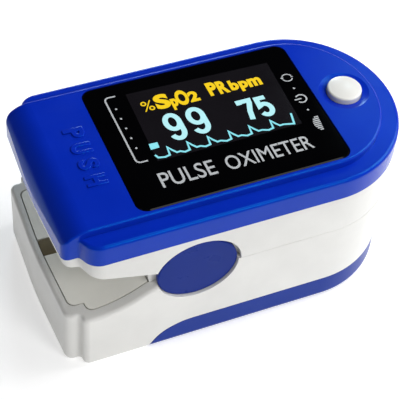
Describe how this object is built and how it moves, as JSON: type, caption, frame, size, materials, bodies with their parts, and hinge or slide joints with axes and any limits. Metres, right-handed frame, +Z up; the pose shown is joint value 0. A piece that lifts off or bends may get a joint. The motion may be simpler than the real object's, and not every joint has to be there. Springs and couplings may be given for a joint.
{
  "type": "fingertip pulse oximeter",
  "caption": "Clip-on fingertip pulse oximeter: two sprung jaws on a cross pin, padded finger channel, display window with a power button, and a sliding battery door.",
  "frame": {"origin": "centre of the base, on the surface that the closed device rests on", "axes": "+Z up, +X towards the mouth that the finger enters, -X towards the push tongues, hinge pin along Y"},
  "size_m": [0.0651, 0.0358, 0.0334],
  "materials": {
    "white_plastic": "fine satin moulding",
    "blue_plastic": "satin gloss moulding",
    "cap_blue": "satin moulding",
    "button_white": "polished dome",
    "display_glass": "polished smoked acrylic",
    "display_panel": "glass module",
    "circuit_board": "solder mask",
    "chip_black": "moulded epoxy",
    "silicone": "soft matte silicone",
    "window_clear": "polished, tinted",
    "cell_jacket": "printed foil jacket",
    "nickel": "nickel plate",
    "steel": "drawn wire and turned pin",
    "bumper_rubber": "closed-cell foam",
    "flex_amber": "polyimide film"
  },
  "bodies": {
    "lower_jaw": {"lower_housing": "white_plastic", "rear_panel": "white_plastic", "tail_bumper": "bumper_rubber", "lower_finger_pad": "silicone", "sensor_window": "window_clear", "sensor_board": "circuit_board", "battery_left": "cell_jacket", "battery_right": "cell_jacket", "contact_minus": "nickel", "contact_plus": "nickel", "contact_bridge": "nickel", "hinge_pin": "steel", "torsion_coil_left": "steel", "torsion_coil_right": "steel", "side_cap_left": "cap_blue", "side_cap_right": "cap_blue"},
    "upper_jaw": {"upper_housing": "white_plastic", "top_cover": "blue_plastic", "display_window": "display_glass", "oled_display": "display_panel", "main_board": "circuit_board", "controller_chip": "chip_black", "buzzer": "chip_black", "tact_switch": "chip_black", "upper_finger_pad": "silicone", "emitter_window": "window_clear", "emitter_board": "circuit_board", "flex_lead": "flex_amber", "torsion_arm_left": "steel", "torsion_arm_right": "steel", "cover_screw_1": "steel", "cover_screw_2": "steel", "cover_screw_3": "steel", "cover_screw_4": "steel"},
    "power_button": {"power_button": "button_white"},
    "battery_door": {"battery_door": "blue_plastic"}
  },
  "joints": [
    {"name": "jaw_hinge", "type": "hinge", "parent": "lower_jaw", "child": "upper_jaw", "pos_m": [-0.0094, 0, 0.018], "axis": [0, -1, 0], "range_deg": [0, 26], "stiffness_Nm_per_rad": 0.12, "springref_deg": -22.92},
    {"name": "button_press", "type": "slide", "parent": "upper_jaw", "child": "power_button", "axis": [0, 0, -1], "range_m": [0, 0.0005], "stiffness_N_per_m": 400, "springref_m": -0.001},
    {"name": "battery_door_slide", "type": "slide", "parent": "lower_jaw", "child": "battery_door", "axis": [1, 0, 0], "range_m": [0, 0.03]}
  ]
}
